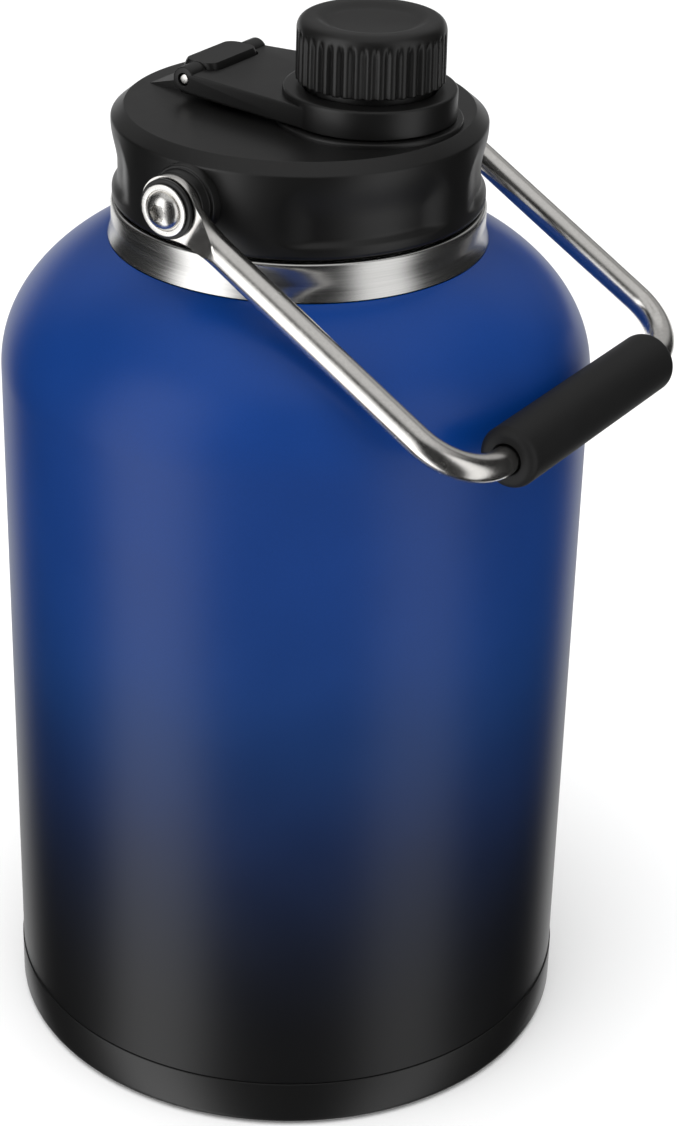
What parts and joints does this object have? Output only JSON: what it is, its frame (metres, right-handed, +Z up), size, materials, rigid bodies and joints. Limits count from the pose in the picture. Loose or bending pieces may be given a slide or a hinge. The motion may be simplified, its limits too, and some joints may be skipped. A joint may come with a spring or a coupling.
{
  "type": "water jug",
  "caption": "Insulated steel jug with a screw-in lid, hinged screw cap over a pouring spout and a swinging bail handle.",
  "frame": {"origin": "centre of the base, on the surface the jug stands on", "axes": "+Z up along the jug's axis, +X towards the pour cap and the hanging grip, Y along the handle's pivots"},
  "size_m": [0.1761, 0.1606, 0.2992],
  "materials": {
    "blue_powder_coat": "satin powder coat, fading to black towards the base",
    "black_powder_coat": "satin",
    "brushed_steel": "brushed",
    "getter_steel": "matte",
    "polished_steel": "polished",
    "black_plastic": "fine satin grain",
    "black_rubber": "matte",
    "silicone": "satin",
    "black_nylon": "satin",
    "brass": "machined",
    "foam": "cellular"
  },
  "bodies": {
    "vessel": {"outer_shell": "blue_powder_coat", "base_cup": "black_powder_coat", "inner_liner": "brushed_steel", "neck_band": "brushed_steel", "getter": "getter_steel"},
    "lid_lift": {"lid_gasket": "silicone"},
    "lid": {"lid_cover": "black_plastic", "lid_plug": "black_plastic", "lid_foam": "foam", "hinge_pin": "polished_steel", "pivot_bushing_left": "black_nylon", "pivot_bushing_right": "black_nylon", "pivot_screw_left": "polished_steel", "pivot_screw_right": "polished_steel", "threaded_insert_left": "brass", "threaded_insert_right": "brass"},
    "arm": {"hinge_arm": "black_plastic"},
    "cap_lift": {"cap_seal": "silicone"},
    "cap": {"cap_shell": "black_plastic", "cap_core": "black_plastic"},
    "handle": {"handle_rod": "polished_steel", "handle_grip": "black_rubber"}
  },
  "joints": [
    {"name": "lid_rise", "type": "slide", "parent": "vessel", "child": "lid_lift", "axis": [0, 0, 1], "range_m": [0, 0.012]},
    {"name": "lid_turn", "type": "hinge", "parent": "lid_lift", "child": "lid", "pos_m": [0, 0, 0.2473], "axis": [0, 0, 1], "range_deg": [0, 720]},
    {"name": "arm_hinge", "type": "hinge", "parent": "lid", "child": "arm", "pos_m": [-0.0255, 0, 0.2779], "axis": [0, -1, 0], "range_deg": [0, 185]},
    {"name": "cap_rise", "type": "slide", "parent": "arm", "child": "cap_lift", "axis": [0, 0, 1], "range_m": [0, 0.003]},
    {"name": "cap_turn", "type": "hinge", "parent": "cap_lift", "child": "cap", "pos_m": [0.0214, 0, 0.2737], "axis": [0, 0, 1], "range_deg": [0, 270]},
    {"name": "handle_swing", "type": "hinge", "parent": "lid", "child": "handle", "pos_m": [0, 0, 0.2604], "axis": [0, -1, 0], "range_deg": [0, 240.8]}
  ],
  "couplings": [
    {"joint": "lid_rise", "follows": "lid_turn", "m_per_rad": 0.00095492},
    {"joint": "cap_rise", "follows": "cap_turn", "m_per_rad": 0.00063661}
  ]
}
